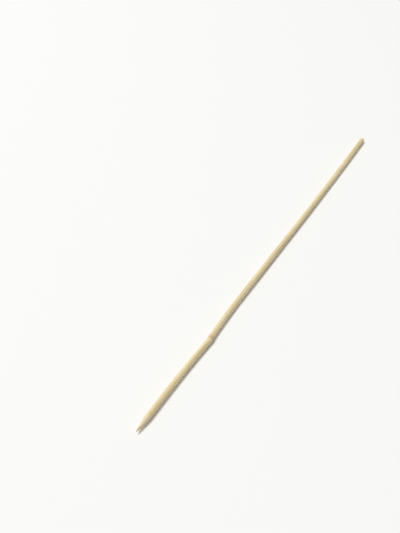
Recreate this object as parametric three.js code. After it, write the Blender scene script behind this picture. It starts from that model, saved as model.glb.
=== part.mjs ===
// A bamboo skewer: one round rod of split bamboo, ground to a point at one end and sawn off at the other.
// It lies along X on the plane z = 0, with its point towards -X. Lengths are in millimetres, angles in radians.
import * as THREE from "three";

// The rod
const LENGTH = 300; // from the very tip to the sawn end
const DIAMETER = 3;
const BOW = 0.55; // how far its middle stands to the -Y side of a straight line from end to end
const WAVE = 0.29; // and how far the half with the sawn end goes on to that side, and the other half comes back

// The ground point
const POINT_LENGTH = 10;
const POINT_FULLNESS = 0.15; // how far its side stands off a straight cone halfway along
const TIP_DIAMETER = 0.44; // of the small round that is left at the very tip

// The sawn end
const BUTT_CHAMFER = 0.18; // the edge that tumbling has worn off

// The node of the culm, which crosses the rod: a low swelling on one side, where the rod also turns
const NODE_FROM_TIP = 71;
const NODE_LENGTH = 7;
const NODE_SWELL = 0.14;
const NODE_SIDE = THREE.MathUtils.degToRad(58); // where the swelling stands highest, from the top towards +Y
const NODE_CROOK = 1; // how far the turn moves the node to the -Y side
const CROOK_REACH = 40; // how far from the node the rod starts to lean towards it
const NODE_JOG = 0.42; // how far the rod steps back to the +Y side as it crosses the node
const JOG_LENGTH = 6;

// The facets that stand for the round surfaces, and the longest steps between rings of points
const SIDES = 32;
const TIP_STEPS = 3;
const POINT_STEPS = 9;
const SHAFT_STEP = 12;
const NODE_STEP = 0.7;

const radius = DIAMETER / 2;
const tipRadius = TIP_DIAMETER / 2;

// The flats of the faceted section touch the true circle, so the rod lies on one of them at its real height.
const cornerScale = 1 / Math.cos(Math.PI / SIDES);

const bamboo = new THREE.MeshStandardMaterial({ color: 0xe6d0a3, roughness: 0.62, metalness: 0 });

// The half outline of the rounded tip and the ground point: each point holds a radius and a distance from the tip
function pointOutline() {
  const tip = new THREE.Path();
  tip.absarc(0, tipRadius, tipRadius, -Math.PI / 2, 0, false);
  const start = new THREE.Vector2(tipRadius, tipRadius);
  const end = new THREE.Vector2(radius, POINT_LENGTH);
  const middle = start.clone().lerp(end, 0.5);
  middle.x += 2 * POINT_FULLNESS; // a quadratic curve passes halfway between its chord and this point
  const side = new THREE.QuadraticBezierCurve(start, middle, end);
  return [...tip.getSpacedPoints(TIP_STEPS), ...side.getPoints(POINT_STEPS).slice(1)];
}

// Evenly spaced distances from the tip, from the first one past a start up to an end
function evenSteps(start, end, longestStep) {
  const count = Math.ceil((end - start) / longestStep);
  return Array.from({ length: count }, (_, i) => THREE.MathUtils.lerp(start, end, (i + 1) / count));
}

function shaftOutline() {
  const nodeStart = NODE_FROM_TIP - NODE_LENGTH / 2;
  const nodeEnd = NODE_FROM_TIP + NODE_LENGTH / 2;
  const rings = [
    ...evenSteps(POINT_LENGTH, nodeStart, SHAFT_STEP),
    ...evenSteps(nodeStart, nodeEnd, NODE_STEP),
    ...evenSteps(nodeEnd, LENGTH - BUTT_CHAMFER, SHAFT_STEP),
  ];
  return rings.map((fromTip) => new THREE.Vector2(radius, fromTip));
}

function buttOutline() {
  return [new THREE.Vector2(radius - BUTT_CHAMFER, LENGTH), new THREE.Vector2(0, LENGTH)];
}

// How far the rod's own line stands to the -Y side: none at its two ends
function sidewaysOffset(fromTip) {
  const share = fromTip / LENGTH;
  const jogStart = NODE_FROM_TIP - JOG_LENGTH / 3;
  const jog = THREE.MathUtils.smoothstep(fromTip, jogStart, jogStart + JOG_LENGTH) - share;
  const crook = Math.max(0, 1 - Math.abs(fromTip - NODE_FROM_TIP) / CROOK_REACH) ** 2;
  const bow = BOW * Math.sin(Math.PI * share) - WAVE * Math.sin(2 * Math.PI * share);
  return NODE_CROOK * crook + bow - NODE_JOG * jog;
}

// How far the surface stands out at the node: most on its own side, and not at all underneath
function nodeSwell(fromTip, angle) {
  const along = Math.abs(fromTip - NODE_FROM_TIP) / (NODE_LENGTH / 2);
  if (along >= 1) return 0;
  const lengthways = (1 + Math.cos(Math.PI * along)) / 2;
  const around = Math.max(0, Math.cos(angle - NODE_SIDE));
  return NODE_SWELL * lengthways * around ** 2;
}

function skewerGeometry() {
  const outline = [...pointOutline(), ...shaftOutline(), ...buttOutline()];
  const geometry = new THREE.LatheGeometry(outline, SIDES, Math.PI / SIDES);
  geometry.rotateZ(-Math.PI / 2);
  const position = geometry.getAttribute("position");
  for (let i = 0; i < position.count; i++) {
    const fromTip = position.getX(i);
    const y = position.getY(i) * cornerScale;
    const z = position.getZ(i) * cornerScale;
    const outward = 1 + nodeSwell(fromTip, Math.atan2(y, z)) / radius;
    position.setXYZ(i, fromTip, y * outward - sidewaysOffset(fromTip), z * outward);
  }
  geometry.computeBoundingBox();
  const { min, max } = geometry.boundingBox;
  geometry.translate(-(min.x + max.x) / 2, -(min.y + max.y) / 2, -min.z);
  return geometry;
}

const skewer = new THREE.Mesh(skewerGeometry(), bamboo);
skewer.name = "skewer";

const part = new THREE.Group();
part.add(skewer);

export default part;
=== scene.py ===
import bpy
import math
import random
from types import SimpleNamespace
from mathutils import Matrix, Vector


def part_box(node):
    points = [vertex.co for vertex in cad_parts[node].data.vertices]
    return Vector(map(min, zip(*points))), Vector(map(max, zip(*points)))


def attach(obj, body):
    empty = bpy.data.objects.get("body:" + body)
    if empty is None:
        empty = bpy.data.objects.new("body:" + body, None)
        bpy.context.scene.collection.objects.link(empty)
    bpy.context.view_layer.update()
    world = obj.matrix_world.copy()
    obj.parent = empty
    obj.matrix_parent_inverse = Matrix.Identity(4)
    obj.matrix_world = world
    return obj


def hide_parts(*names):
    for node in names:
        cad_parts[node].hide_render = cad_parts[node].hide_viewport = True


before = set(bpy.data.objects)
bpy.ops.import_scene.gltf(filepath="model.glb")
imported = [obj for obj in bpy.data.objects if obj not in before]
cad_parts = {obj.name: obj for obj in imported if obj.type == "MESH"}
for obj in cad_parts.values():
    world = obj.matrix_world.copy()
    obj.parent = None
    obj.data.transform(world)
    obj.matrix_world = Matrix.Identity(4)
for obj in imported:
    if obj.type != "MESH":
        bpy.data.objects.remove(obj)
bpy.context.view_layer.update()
rodLow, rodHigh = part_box("skewer")
mm = 0.001
print("frame loaded")

# The rod lies along X with its point towards -X. All lengths are in metres.
rod = {
    "diameter": 3.0 * mm,
    "sides": 160,
    "bow": 0.55 * mm,               # its middle stands this far to -Y
    "wave": 0.29 * mm,              # the half with the sawn end goes further, the other half comes back
    "shaftStep": 0.75 * mm,         # between rings of the shaft
    "nodeStep": 0.22 * mm,          # between rings near the node
    "nodeReach": 8.0 * mm,          # how far the closer rings go each way from the node
    "farStretches": 3,              # lengths of shaft past the node, each cut into rings in one go
    "smoothUpTo": math.radians(40),
}
point = {
    "length": 10.0 * mm,
    "fullness": 0.15 * mm,          # the ground side stands this far off a straight cone
    "rings": 44,
    "tipDiameter": 0.44 * mm,
    "tipRings": 6,
}
butt = {
    "edge": 0.18 * mm,              # the worn edge of the sawn end
    "edgeRings": 4,
    "faceRings": 11,
}
node = {
    "fromTip": 71.0 * mm,
    "length": 7.0 * mm,
    "swell": 0.13 * mm,
    "side": math.radians(58),       # where it swells most, from the top towards +Y
    "crook": 1.0 * mm,              # the rod turns here, so the node stands this far to -Y
    "crookReach": 40.0 * mm,        # from where the rod leans towards it
    "jog": 0.42 * mm,               # the rod steps back to +Y as it crosses the node
    "jogLength": 6.0 * mm,
    "scarDepth": 0.05 * mm,
    "scarWidth": 0.3 * mm,
    "secondScar": 1.3 * mm,         # how far a fainter scar lies from the first one
    "scarWander": 0.4 * mm,
    # the waves that the scars make round the rod: how high, how many in a turn, and where they start
    "scarWaves": ((0.6, 1, 0.7), (0.25, 3, 0.0), (0.15, 7, 2.0)),
}

radius = rod["diameter"] / 2
length = rodHigh.x - rodLow.x
tipX, buttX = rodLow.x, rodHigh.x
lineY = rodHigh.y - radius          # both ends of the rod's own line
jogStart = node["fromTip"] - node["jogLength"] / 3


def smooth(low, high, value):
    share = min(1.0, max(0.0, (value - low) / (high - low)))
    return share * share * (3 - 2 * share)


def sideways(fromTip):
    # how far the rod's own line stands to -Y: none at its two ends
    share = fromTip / length
    jog = smooth(jogStart, jogStart + node["jogLength"], fromTip) - share
    crook = max(0, 1 - abs(fromTip - node["fromTip"]) / node["crookReach"]) ** 2
    bow = rod["bow"] * math.sin(math.pi * share) - rod["wave"] * math.sin(2 * math.pi * share)
    return node["crook"] * crook + bow - node["jog"] * jog


# Selecting, cutting and pushing


def makeActive(piece):
    bpy.ops.object.select_all(action="DESELECT")
    piece.select_set(True)
    bpy.context.view_layer.objects.active = piece


def cutEdges(piece, isWanted, cuts):
    # cuts every edge whose two ends pass the test into cuts + 1 pieces
    makeActive(piece)
    bpy.ops.object.mode_set(mode="EDIT")
    bpy.ops.mesh.select_mode(type="EDGE")
    bpy.ops.mesh.select_all(action="DESELECT")
    bpy.ops.object.mode_set(mode="OBJECT")
    points = piece.data.vertices
    for edge in piece.data.edges:
        edge.select = isWanted(points[edge.vertices[0]].co, points[edge.vertices[1]].co)
    bpy.ops.object.mode_set(mode="EDIT")
    bpy.ops.mesh.subdivide(number_cuts=cuts)
    bpy.ops.object.mode_set(mode="OBJECT")


def stretchClouds(modifier, grain):
    # a cloud texture, with an empty that stretches it along the rod
    texture = bpy.data.textures.new("grain", type="CLOUDS")
    texture.noise_scale = 1.0
    texture.noise_depth = grain.get("detail", 1)
    texture.contrast = grain.get("contrast", 1.0)
    stretcher = bpy.data.objects.new("grainSize", None)
    bpy.context.scene.collection.objects.link(stretcher)
    stretcher.location = grain.get("start", (0.3, 0.1, 0.2))
    stretcher.scale = (grain["along"], grain["across"], grain["across"])
    bpy.context.view_layer.update()
    modifier.texture = texture
    modifier.texture_coords = "OBJECT"
    modifier.texture_coords_object = stretcher
    return stretcher


def push(piece, strength, weightAt, direction="NORMAL", grain=None):
    # moves the surface by strength where weightAt is 1; a grain turns that into hollows up to as deep
    makeActive(piece)
    group = piece.vertex_groups.new(name="push")
    for vertex in piece.data.vertices:
        group.add([vertex.index], weightAt(vertex.co), "REPLACE")
    modifier = piece.modifiers.new("push", "DISPLACE")
    modifier.vertex_group = group.name
    modifier.direction = direction
    modifier.strength = strength
    modifier.mid_level = 1.0 if grain else 0.0
    stretcher = stretchClouds(modifier, grain) if grain else None
    bpy.ops.object.modifier_apply(modifier=modifier.name)
    piece.vertex_groups.clear()
    if stretcher:
        bpy.data.objects.remove(stretcher)


# The plain rod


def pointRings():
    # the rounded tip and the ground point, as (distance from the tip, radius)
    tipRadius = point["tipDiameter"] / 2
    rings = []
    for i in range(1, point["tipRings"] + 1):
        turn = math.pi / 2 * i / point["tipRings"]
        rings.append((tipRadius * (1 - math.cos(turn)), tipRadius * math.sin(turn)))
    for i in range(1, point["rings"] + 1):
        share = i / point["rings"]
        along = tipRadius + (point["length"] - tipRadius) * share
        straight = tipRadius + (radius - tipRadius) * share
        rings.append((along, straight + 4 * point["fullness"] * share * (1 - share)))
    return rings


def shaftRings():
    # the ends of the stretches that are cut into rings afterwards
    beforeNode = node["fromTip"] - rod["nodeReach"]
    afterNode = node["fromTip"] + rod["nodeReach"]
    shoulder = length - butt["edge"]
    stretch = (shoulder - afterNode) / rod["farStretches"]
    far = [afterNode + stretch * (i + 1) for i in range(rod["farStretches"])]
    return [(along, radius) for along in (beforeNode, afterNode, *far)]


def buttRings():
    rings = []
    for i in range(1, butt["edgeRings"] + 1):
        turn = math.pi / 2 * i / butt["edgeRings"]
        along = length - butt["edge"] * (1 - math.sin(turn))
        rings.append((along, radius - butt["edge"] * (1 - math.cos(turn))))
    return rings


def addRod():
    rings = pointRings() + shaftRings() + buttRings()
    along, size = rings[0]
    bpy.ops.object.select_all(action="DESELECT")
    bpy.ops.mesh.primitive_circle_add(
        vertices=rod["sides"],
        radius=size,
        fill_type="NGON",
        location=(tipX + along, lineY, radius),
        rotation=(0, math.pi / 2, 0),
    )
    piece = bpy.context.object
    piece.name = "bamboo_rod"
    bpy.ops.object.transform_apply(location=True, rotation=True, scale=True)
    bpy.ops.object.mode_set(mode="EDIT")
    bpy.ops.mesh.select_mode(type="FACE")
    bpy.ops.mesh.select_all(action="SELECT")
    for nextAlong, nextSize in rings[1:]:
        bpy.ops.mesh.extrude_region_move(
            TRANSFORM_OT_translate={"value": (nextAlong - along, 0, 0), "orient_type": "GLOBAL"}
        )
        share = nextSize / size
        bpy.ops.transform.resize(value=(1, share, share), center_override=(tipX + nextAlong, lineY, radius))
        along, size = nextAlong, nextSize
    for i in range(butt["faceRings"]):  # rings on the sawn face, for its end grain
        bpy.ops.mesh.inset(thickness=size / (butt["faceRings"] + 1))
    bpy.ops.mesh.poke()
    bpy.ops.mesh.select_all(action="SELECT")
    bpy.ops.mesh.normals_make_consistent(inside=False)
    bpy.ops.object.mode_set(mode="OBJECT")
    return piece


def cutShaft(piece):
    ends = [point["length"]] + [along for along, size in shaftRings()]
    near = 0.01 * mm
    for start, end in zip(ends, ends[1:]):
        step = rod["nodeStep"] if start < node["fromTip"] < end else rod["shaftStep"]
        low, high = tipX + start, tipX + end

        def spansStretch(a, b):
            return abs(min(a.x, b.x) - low) < near and abs(max(a.x, b.x) - high) < near

        cutEdges(piece, spansStretch, math.ceil((end - start) / step) - 1)


# Its surface: how deep each kind of hollow goes, and how long it is along the rod and wide across it

surface = {
    "outOfRound": {"deep": 0.09 * mm, "along": 42 * mm, "across": 1.2 * mm},
    "furrows": {
        "deep": 0.05 * mm, "along": 30 * mm, "across": 0.36 * mm, "contrast": 3.0, "start": (0.1, 0.5, 0.7)
    },
    "fibres": {"deep": 0.035 * mm, "along": 9 * mm, "across": 0.17 * mm, "contrast": 2.0},
    "grinding": {"deep": 0.07 * mm, "along": 1.5 * mm, "across": 0.75 * mm, "detail": 2, "contrast": 1.6},
    # so long that it changes over the sawn face alone
    "sawing": {"deep": 0.05 * mm, "along": 1000 * mm, "across": 0.16 * mm, "contrast": 1.6},
}


def roughenWith(piece, name, weightAt, direction="NORMAL"):
    push(piece, surface[name]["deep"], weightAt, direction, surface[name])


def roughenSides(piece):
    shoulder = tipX + point["length"]

    def onShaft(co):
        return smooth(shoulder - 1.5 * mm, shoulder + 0.5 * mm, co.x)

    def onPoint(co):
        return 1 - smooth(shoulder - 1.0 * mm, shoulder + 0.6 * mm, co.x)

    def pastTip(co):
        return smooth(tipX, tipX + 3 * mm, co.x)

    def beforeButt(co):  # shallower there, so that the sawn end stays nearly round
        return 1 - 0.6 * smooth(buttX - 3 * mm, buttX, co.x)

    roughenWith(piece, "outOfRound", onShaft)
    roughenWith(piece, "furrows", lambda co: onShaft(co) * beforeButt(co))
    roughenWith(piece, "fibres", lambda co: 0.25 + 0.75 * onShaft(co))
    roughenWith(piece, "grinding", lambda co: onPoint(co) * pastTip(co))


def shapeNode(piece):
    def turnOf(co):
        return math.atan2(co.y - lineY, co.z - radius)

    def swell(co):
        away = abs(co.x - tipX - node["fromTip"]) / (node["length"] / 2)
        if away >= 1:
            return 0
        around = max(0, math.cos(turnOf(co) - node["side"]))
        return (1 + math.cos(math.pi * away)) / 2 * around ** 2

    def scar(co, shift):
        turn = turnOf(co)
        wander = sum(high * math.sin(times * turn + start) for high, times, start in node["scarWaves"])
        away = abs(co.x - tipX - node["fromTip"] - shift - node["scarWander"] * wander)
        return 1 - smooth(0, node["scarWidth"], away)

    push(piece, node["swell"], swell)
    push(piece, -node["scarDepth"], lambda co: scar(co, 0))
    push(piece, -0.6 * node["scarDepth"], lambda co: scar(co, node["secondScar"]))


def roughenButt(piece):
    justInside = buttX - 0.02 * mm

    def onFace(co):
        away = math.hypot(co.y - lineY, co.z - radius)
        return (1 - smooth(radius - butt["edge"], radius, away)) if co.x > justInside else 0

    roughenWith(piece, "sawing", onFace, direction="X")


# Torn fibres

tornFibres = {
    "seed": 7,
    # how many, how long and how wide to each side in millimetres, how steeply they stand off, and the gap
    # in millimetres that they keep from both ends, from the ground point or from the sawn end
    "alongShaft": {
        "count": 12, "size": (1.6, 5.0), "width": (0.02, 0.04), "slope": (0.01, 0.04), "gap": (14, 14)
    },
    "nearPoint": {
        "count": 5, "size": (0.7, 1.6), "width": (0.018, 0.03), "slope": (0.03, 0.08), "gap": (0.4, 2.0)
    },
    "atButt": {
        "count": 16, "size": (0.4, 1.5), "width": (0.016, 0.034), "slope": (0.03, 0.2), "gap": (0.03, 0.25)
    },
    # they stay near these places round the rod, which keeps them inside the box of the whole part
    "places": [math.radians(turn) for turn in (45, -45, 135, -135)],
    "spread": 0.2,
    "splay": 0.05,                  # how far they point away from the grain
    "sides": 6,
    "cuts": 7,
}


def addTornFibre(fromTip, turn, size, width, slope, yaw):
    # a thin splinter, pointed at both ends, that grows out of the surface and curls away from it
    bpy.ops.object.select_all(action="DESELECT")
    bpy.ops.mesh.primitive_cylinder_add(
        vertices=tornFibres["sides"], radius=1, depth=1, end_fill_type="TRIFAN"
    )
    fibre = bpy.context.object
    cutEdges(fibre, lambda a, b: abs(a.z - b.z) > 0.5, tornFibres["cuts"])
    for vertex in fibre.data.vertices:
        share = vertex.co.z + 0.5
        half = width * (0.15 + 0.85 * math.sin(math.pi * share ** 0.7))  # widest a third of the way along
        rise = 2.2 * width * smooth(0, 0.35, share) + slope * size * share ** 2
        vertex.co = (share * size, vertex.co.x * half, vertex.co.y * 0.7 * half + rise)
    rootDepth = 2.0 * width + 0.06 * mm
    place = Matrix.Translation((tipX + fromTip, lineY, radius)) @ Matrix.Rotation(-turn, 4, "X")
    place = place @ Matrix.Translation((0, 0, radius - rootDepth))
    fibre.data.transform(place @ Matrix.Rotation(yaw, 4, "Z"))
    return fibre


def addTornFibres(piece):
    draw = random.Random(tornFibres["seed"])
    fibres = []
    for where in ("alongShaft", "nearPoint", "atButt"):
        kind = tornFibres[where]
        least, most = kind["gap"]
        for i in range(kind["count"]):
            size = draw.uniform(*kind["size"]) * mm
            width = draw.uniform(*kind["width"]) * mm
            slope = draw.uniform(*kind["slope"])
            turn = draw.choice(tornFibres["places"]) + draw.uniform(-1, 1) * tornFibres["spread"]
            yaw = draw.uniform(-1, 1) * tornFibres["splay"]
            if where == "atButt":
                fromTip = length - size - draw.uniform(least, most) * mm
            elif where == "nearPoint":
                fromTip = point["length"] + draw.uniform(least, most) * mm
                yaw += math.pi
            else:
                fromTip = draw.uniform(least * mm, length - most * mm)
                yaw += draw.choice((0, math.pi))
            fibres.append(addTornFibre(fromTip, turn, size, width, slope, yaw))
    bpy.ops.object.select_all(action="DESELECT")
    for fibre in fibres:
        fibre.select_set(True)
    piece.select_set(True)
    bpy.context.view_layer.objects.active = piece
    bpy.ops.object.join()


def makeRod():
    piece = addRod()
    cutShaft(piece)
    roughenSides(piece)
    shapeNode(piece)
    roughenButt(piece)
    addTornFibres(piece)
    most = node["crook"] + rod["bow"] + rod["wave"]
    push(piece, -most, lambda co: sideways(co.x - tipX) / most, direction="Y")
    makeActive(piece)
    bpy.ops.object.shade_smooth_by_angle(angle=rod["smoothUpTo"])
    print("rod made,", len(piece.data.polygons), "faces")
    return piece


# Node trees: a socket in sums, and one way to add any node


class Value:
    def __init__(self, maker, socket):
        self.maker, self.socket = maker, socket

    def maths(self, operation, *others):
        inputs = {i: other for i, other in enumerate((self, *others))}
        return self.maker.add("ShaderNodeMath", {"operation": operation}, inputs).out()

    def reflected(self, operation, other):
        return self.maker.add("ShaderNodeMath", {"operation": operation}, {0: other, 1: self}).out()

    def __add__(self, other):
        return self.maths("ADD", other)

    def __radd__(self, other):
        return self.reflected("ADD", other)

    def __sub__(self, other):
        return self.maths("SUBTRACT", other)

    def __rsub__(self, other):
        return self.reflected("SUBTRACT", other)

    def __mul__(self, other):
        return self.maths("MULTIPLY", other)

    def __rmul__(self, other):
        return self.reflected("MULTIPLY", other)

    def __truediv__(self, other):
        return self.maths("DIVIDE", other)

    def __rtruediv__(self, other):
        return self.reflected("DIVIDE", other)

    def __abs__(self):
        return self.maths("ABSOLUTE")


class Made:
    def __init__(self, maker, item):
        self.maker, self.item = maker, item

    def out(self, name=0):
        return Value(self.maker, self.item.outputs[name])


class Maker:
    def __init__(self, name):
        self.material = bpy.data.materials.new(name)
        self.material.use_nodes = True
        self.tree = self.material.node_tree
        self.tree.nodes.clear()

    def add(self, kind, settings=None, inputs=None):
        item = self.tree.nodes.new(kind)
        for name, value in (settings or {}).items():
            setattr(item, name, value)
        for name, value in (inputs or {}).items():
            if isinstance(value, Value):
                self.tree.links.new(value.socket, item.inputs[name])
            else:
                item.inputs[name].default_value = value
        return Made(self, item)

    def vector(self, x, y, z):
        return self.add("ShaderNodeCombineXYZ", {}, {"X": x, "Y": y, "Z": z}).out()

    def noise(self, vector, detail=1.0, roughness=0.5):
        inputs = {"Vector": vector, "Scale": 1.0, "Detail": detail, "Roughness": roughness}
        return self.add("ShaderNodeTexNoise", {"noise_dimensions": "3D"}, inputs).out("Fac")

    def cells(self, vector, dimensions="3D"):
        # distance from the nearest cell centre
        settings = {"feature": "F1", "voronoi_dimensions": dimensions}
        return self.add("ShaderNodeTexVoronoi", settings, {"Vector": vector, "Scale": 1.0}).out("Distance")

    def ramp(self, value, low, high, atLow=0.0, atHigh=1.0):
        inputs = {"Value": value, "From Min": low, "From Max": high, "To Min": atLow, "To Max": atHigh}
        return self.add("ShaderNodeMapRange", {"interpolation_type": "SMOOTHSTEP"}, inputs).out()

    def mix(self, share, first, second):
        inputs = {0: share, 6: first, 7: second}
        return self.add("ShaderNodeMix", {"data_type": "RGBA"}, inputs).out(2)


def color(red, green, blue):
    # from the 0 to 255 of a paint chart to Blender's own linear scale
    def linear(level):
        level = level / 255
        return level / 12.92 if level <= 0.04045 else ((level + 0.055) / 1.055) ** 2.4

    return (linear(red), linear(green), linear(blue), 1.0)


# Bamboo. Its material works in millimetres, and a spot holds what is known of each place on the rod.

bamboo = {
    "pale": color(242, 227, 185),
    "straw": color(236, 215, 170),
    "fibreDark": color(206, 176, 126),
    "bundle": color(160, 122, 76),
    "fleck": color(104, 72, 42),
    "nodeBand": color(205, 168, 114),
    "scar": color(122, 84, 50),
    "cut": color(238, 226, 196),
    # the tip's colour is partly tan and partly painted shade
    "tip": color(186, 156, 114),
    "endGrain": color(214, 188, 142),
    "endBundle": color(112, 78, 48),
    # layers of the grain over the pale colour: how often each changes in a millimetre along and across the
    # rod, where it starts, how detailed and rough it is, when it fades in, and its colour and strength
    "layers": {
        "patches": {
            "perMm": (0.018, 0.35), "start": 3.0, "detail": 1.0, "rough": 0.5,
            "fade": (0.36, 0.64), "color": "straw", "strength": 0.65,
        },
        "broad": {
            "perMm": (0.03, 1.3), "start": 0.0, "detail": 2.0, "rough": 0.5,
            "fade": (0.45, 0.72), "color": "fibreDark", "strength": 0.35,
        },
        "fine": {
            "perMm": (0.09, 5.0), "start": 1.0, "detail": 2.0, "rough": 0.6,
            "fade": (0.5, 0.68), "color": "fibreDark", "strength": 0.4,
        },
        "finest": {
            "perMm": (0.3, 13.0), "start": 2.0, "detail": 1.0, "rough": 0.5,
            "fade": (0.5, 0.66), "color": "fibreDark", "strength": 0.3,
        },
    },
    # how strongly other things show
    "shows": {
        "bundle": 0.1, "bundleNearSkin": 0.45, "fleck": 0.6, "nodeBand": 0.4, "scar": 0.5,
        # "tip" sets how strongly the tip's tan and painted shade show
        "cut": 0.4, "cutMarks": 0.35, "tip": 0.65,
        "sawMarks": 0.3, "endBundle": 0.35, "endBundleNearSkin": 0.5,
    },
    # how far the fibres stand up and the bundles lie deep, in millimetres
    "relief": {"fine": 0.03, "finest": 0.012, "bundle": 0.008, "cutMarks": 0.02},
    "bundlesPerMm": 2.5,
    "skinSide": math.radians(35),   # where the rod was nearest the culm's skin, from the top towards +Y
    "roughness": 0.52,
    "groundRoughness": 0.72,
    "sawnRoughness": 0.86,
}


def straightenRod(make):
    # places along and across the rod as if it had no bow, crook or jog
    place = make.add("ShaderNodeTexCoord").out("Object")
    scaled = make.add("ShaderNodeVectorMath", {"operation": "SCALE"}, {0: place, "Scale": 1 / mm}).out()
    parts = make.add("ShaderNodeSeparateXYZ", {}, {0: scaled})
    fromTip = parts.out("X") - tipX / mm
    fromNode = fromTip - node["fromTip"] / mm
    turn = fromTip * (math.pi * mm / length)
    bow = turn.maths("SINE") * (rod["bow"] / mm) - (turn * 2.0).maths("SINE") * (rod["wave"] / mm)
    crook = (1.0 - abs(fromNode) * (mm / node["crookReach"])).maths("MAXIMUM", 0.0)
    jog = make.ramp(fromTip, jogStart / mm, (jogStart + node["jogLength"]) / mm) - fromTip / (length / mm)
    bend = bow + crook * crook * (node["crook"] / mm) - jog * (node["jog"] / mm)
    across = parts.out("Y") - lineY / mm + bend
    upright = parts.out("Z") - radius / mm
    return SimpleNamespace(fromTip=fromTip, fromNode=fromNode, across=across, upright=upright)


def bendFibres(make, spot):
    # fibres wander a little along the rod, and swirl at the node
    nearNode = make.ramp(abs(spot.fromNode), 0.3, 3.6, 1.0, 0.0)
    drift = make.noise(make.vector(spot.fromTip * 0.016, 4.0, 1.0)) - 0.5
    driftUp = make.noise(make.vector(spot.fromTip * 0.016, 9.0, 5.0)) - 0.5
    spot.swirl = make.noise(make.vector(spot.fromTip * 0.45, spot.across * 0.7, spot.upright * 0.7)) - 0.5
    spot.acrossGrain = spot.across + drift * 0.9 + spot.swirl * nearNode * 1.3
    spot.uprightGrain = spot.upright + driftUp * 0.9 - spot.swirl * nearNode * 0.9


def alongFibres(make, spot, along, across, start=0.0):
    return make.vector(spot.fromTip * along + start, spot.acrossGrain * across, spot.uprightGrain * across)


def placeBundles(make, spot):
    # the culm's dark bundles: lines along the side and dots on the sawn end, stronger near the skin
    skin = spot.across * math.sin(bamboo["skinSide"]) + spot.upright * math.cos(bamboo["skinSide"])
    spot.nearSkin = make.ramp(skin, -1.2, 1.4)
    closeness = bamboo["bundlesPerMm"]
    section = make.vector(spot.acrossGrain * closeness, spot.uprightGrain * closeness, 0.0)
    spot.bundle = make.ramp(make.cells(section, "2D"), 0.12, 0.27, 1.0, 0.0)


def paintGrain(make, spot):
    tone = bamboo["pale"]
    spot.layers = {}
    for name, layer in bamboo["layers"].items():
        fibres = alongFibres(make, spot, *layer["perMm"], layer["start"])
        pattern = make.noise(fibres, layer["detail"], layer["rough"])
        tone = make.mix(make.ramp(pattern, *layer["fade"]) * layer["strength"], tone, bamboo[layer["color"]])
        spot.layers[name] = pattern
    shows = bamboo["shows"]
    lines = (shows["bundle"] + spot.nearSkin * shows["bundleNearSkin"]) * spot.bundle
    lines = lines * make.ramp(spot.layers["broad"], 0.3, 0.6, 0.35, 1.0)
    tone = make.mix(lines, tone, bamboo["bundle"])
    flecks = make.ramp(make.cells(alongFibres(make, spot, 0.33, 1.9, 5.0)), 0.06, 0.13, 1.0, 0.0)
    fleckHere = make.ramp(make.noise(alongFibres(make, spot, 0.05, 0.6, 8.0)), 0.5, 0.66)
    return make.mix(flecks * fleckHere * shows["fleck"], tone, bamboo["fleck"])


def paintNode(make, spot, tone):
    # a browner band, and the thin dark scars that the sheath left
    around = spot.across.maths("ARCTAN2", spot.upright)
    waves = [(around * times + start).maths("SINE") * high for high, times, start in node["scarWaves"]]
    wander = sum(waves) * (node["scarWander"] / mm)
    breakUp = make.noise(make.vector(spot.fromTip * 1.5, spot.across * 1.6, spot.upright * 1.6), 2.0)
    band = make.ramp(abs(spot.fromNode - 0.5 + spot.swirl), 0.6, 2.6, 1.0, 0.0)
    tone = make.mix(band * bamboo["shows"]["nodeBand"], tone, bamboo["nodeBand"])
    scar = make.ramp(abs(spot.fromNode - wander), 0.05, 0.26, 1.0, 0.0) * make.ramp(breakUp, 0.3, 0.55)
    fromSecond = abs(spot.fromNode - node["secondScar"] / mm - wander)
    scar = scar + make.ramp(fromSecond, 0.05, 0.22, 0.5, 0.0) * make.ramp(breakUp, 0.4, 0.6)
    return make.mix(scar * bamboo["shows"]["scar"], tone, bamboo["scar"])


def paintPoint(make, spot, tone):
    # fresh-cut and duller, with marks round it, and a browner very tip that is partly tan and partly painted
    # shade
    cutEdge = spot.fromTip - point["length"] / mm + (spot.layers["fine"] - 0.5) * 1.6
    spot.ground = make.ramp(cutEdge, -0.35, 0.15, 1.0, 0.0)
    turned = make.vector(spot.fromTip * 7.0, spot.across * 0.9, spot.upright * 0.9)
    spot.marks = make.noise(turned, 2.0, 0.7)
    shows = bamboo["shows"]
    cutMarks = spot.ground * make.ramp(spot.marks, 0.55, 0.8)
    tipTanAndShade = make.ramp(spot.fromTip, 0.2, 4.5, 1.0, 0.0)
    tone = make.mix(spot.ground * shows["cut"], tone, bamboo["cut"])
    tone = make.mix(cutMarks * shows["cutMarks"], tone, bamboo["fibreDark"])
    return make.mix(tipTanAndShade * shows["tip"], tone, bamboo["tip"])


def paintSawnEnd(make, spot, tone):
    spot.sawn = make.ramp(spot.fromTip, length / mm - 0.16, length / mm - 0.06)
    sawMarks = make.noise(make.vector(0.0, spot.across * 1.2, spot.upright * 9.0), 1.0)
    shows = bamboo["shows"]
    marks = make.ramp(sawMarks, 0.4, 0.7) * shows["sawMarks"]
    dots = spot.bundle * (shows["endBundle"] + spot.nearSkin * shows["endBundleNearSkin"])
    endTone = make.mix(marks, bamboo["endGrain"], bamboo["bundle"])
    endTone = make.mix(dots, endTone, bamboo["endBundle"])
    return make.mix(spot.sawn, tone, endTone)


def roughnessOf(spot):
    plain = bamboo["roughness"]
    groundMore = spot.ground * (bamboo["groundRoughness"] - plain)
    sawnMore = spot.sawn * (bamboo["sawnRoughness"] - plain)
    return plain + (spot.layers["fine"] - 0.5) * 0.25 + groundMore + sawnMore


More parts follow.
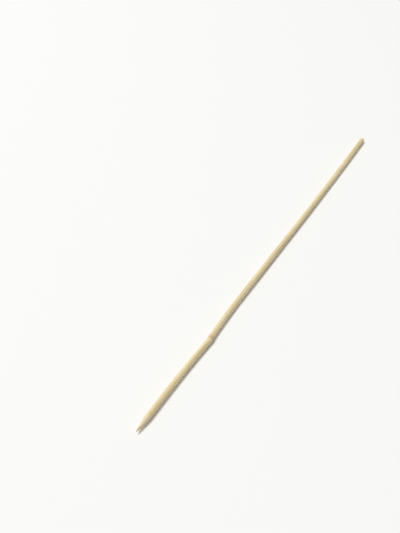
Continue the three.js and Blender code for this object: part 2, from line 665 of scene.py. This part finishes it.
def reliefOf(make, spot):
    relief = bamboo["relief"]
    height = (spot.layers["fine"] - 0.5) * relief["fine"] + (spot.layers["finest"] - 0.5) * relief["finest"]
    height = height - spot.bundle * relief["bundle"]
    height = height + spot.ground * (spot.marks - 0.5) * relief["cutMarks"]
    return make.add("ShaderNodeBump", {}, {"Strength": 0.8, "Distance": mm, "Height": height}).out()


def bambooMaterial():
    make = Maker("bamboo")
    spot = straightenRod(make)
    bendFibres(make, spot)
    placeBundles(make, spot)
    tone = paintGrain(make, spot)
    tone = paintNode(make, spot, tone)
    tone = paintPoint(make, spot, tone)
    tone = paintSawnEnd(make, spot, tone)
    inputs = {
        "Base Color": tone,
        "Roughness": roughnessOf(spot),
        "Normal": reliefOf(make, spot),
        "Specular IOR Level": 0.4,
    }
    shader = make.add("ShaderNodeBsdfPrincipled", {}, inputs).out()
    make.add("ShaderNodeOutputMaterial", {}, {"Surface": shader})
    return make.material


# Floor, light and camera

# Colours are shown as they are, without a film look.
bpy.context.scene.view_settings.view_transform = "Standard"

studio = {
    "floorSize": 60.0,
    "floorColor": color(243, 243, 241),
    "sky": 0.42,
    # one large light: where it stands, how wide it is, and its power
    "lightAt": (-0.4, 2.3, 4.9),
    "lightWide": 2.4,
    "lightPower": 216,
}


def addFloor():
    bpy.ops.object.select_all(action="DESELECT")
    bpy.ops.mesh.primitive_plane_add(size=studio["floorSize"], location=(0, 0, 0))
    floor = bpy.context.object
    floor.name = "floor"
    make = Maker("floor")
    inputs = {"Base Color": studio["floorColor"], "Roughness": 0.8, "Specular IOR Level": 0.2}
    shader = make.add("ShaderNodeBsdfPrincipled", {}, inputs).out()
    make.add("ShaderNodeOutputMaterial", {}, {"Surface": shader})
    floor.data.materials.append(make.material)


def addLight():
    data = bpy.data.lights.new("key", "AREA")
    data.shape = "DISK"
    data.size = studio["lightWide"]
    data.energy = studio["lightPower"]
    lamp = bpy.data.objects.new("key", data)
    lamp.location = studio["lightAt"]
    lamp.rotation_euler = (-Vector(studio["lightAt"])).to_track_quat("-Z", "Y").to_euler()
    bpy.context.scene.collection.objects.link(lamp)


def addSky():
    world = bpy.data.worlds.new("studio")
    world.use_nodes = True
    background = world.node_tree.nodes["Background"]
    background.inputs["Color"].default_value = (1, 1, 1, 1)
    background.inputs["Strength"].default_value = studio["sky"]
    bpy.context.scene.world = world


# The camera stands past the point, to the right of the rod, and looks along it and down.
camera = {
    "at": (-0.4098, -0.177, 0.2949),
    "heading": math.radians(28.54),  # from +X towards +Y
    "down": math.radians(33.78),
    "roll": math.radians(-3.45),     # the picture leans to the left
    "lens": 65.95,
    "sensor": 36.0,
}


def addCamera():
    data = bpy.data.cameras.new("camera")
    data.lens = camera["lens"]
    data.sensor_width = camera["sensor"]
    item = bpy.data.objects.new("camera", data)
    turn = Matrix.Rotation(camera["heading"] - math.pi / 2, 4, "Z")
    tilt = Matrix.Rotation(math.pi / 2 - camera["down"], 4, "X")
    roll = Matrix.Rotation(camera["roll"], 4, "Z")
    item.matrix_world = Matrix.Translation(camera["at"]) @ turn @ tilt @ roll
    bpy.context.scene.collection.objects.link(item)
    bpy.context.scene.camera = item


addCamera()
addFloor()
addSky()
addLight()
print("camera, floor and light placed")

skewer = makeRod()
skewer.data.materials.clear()
skewer.data.materials.append(bambooMaterial())
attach(skewer, "root")
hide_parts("skewer")
print("bamboo material on")
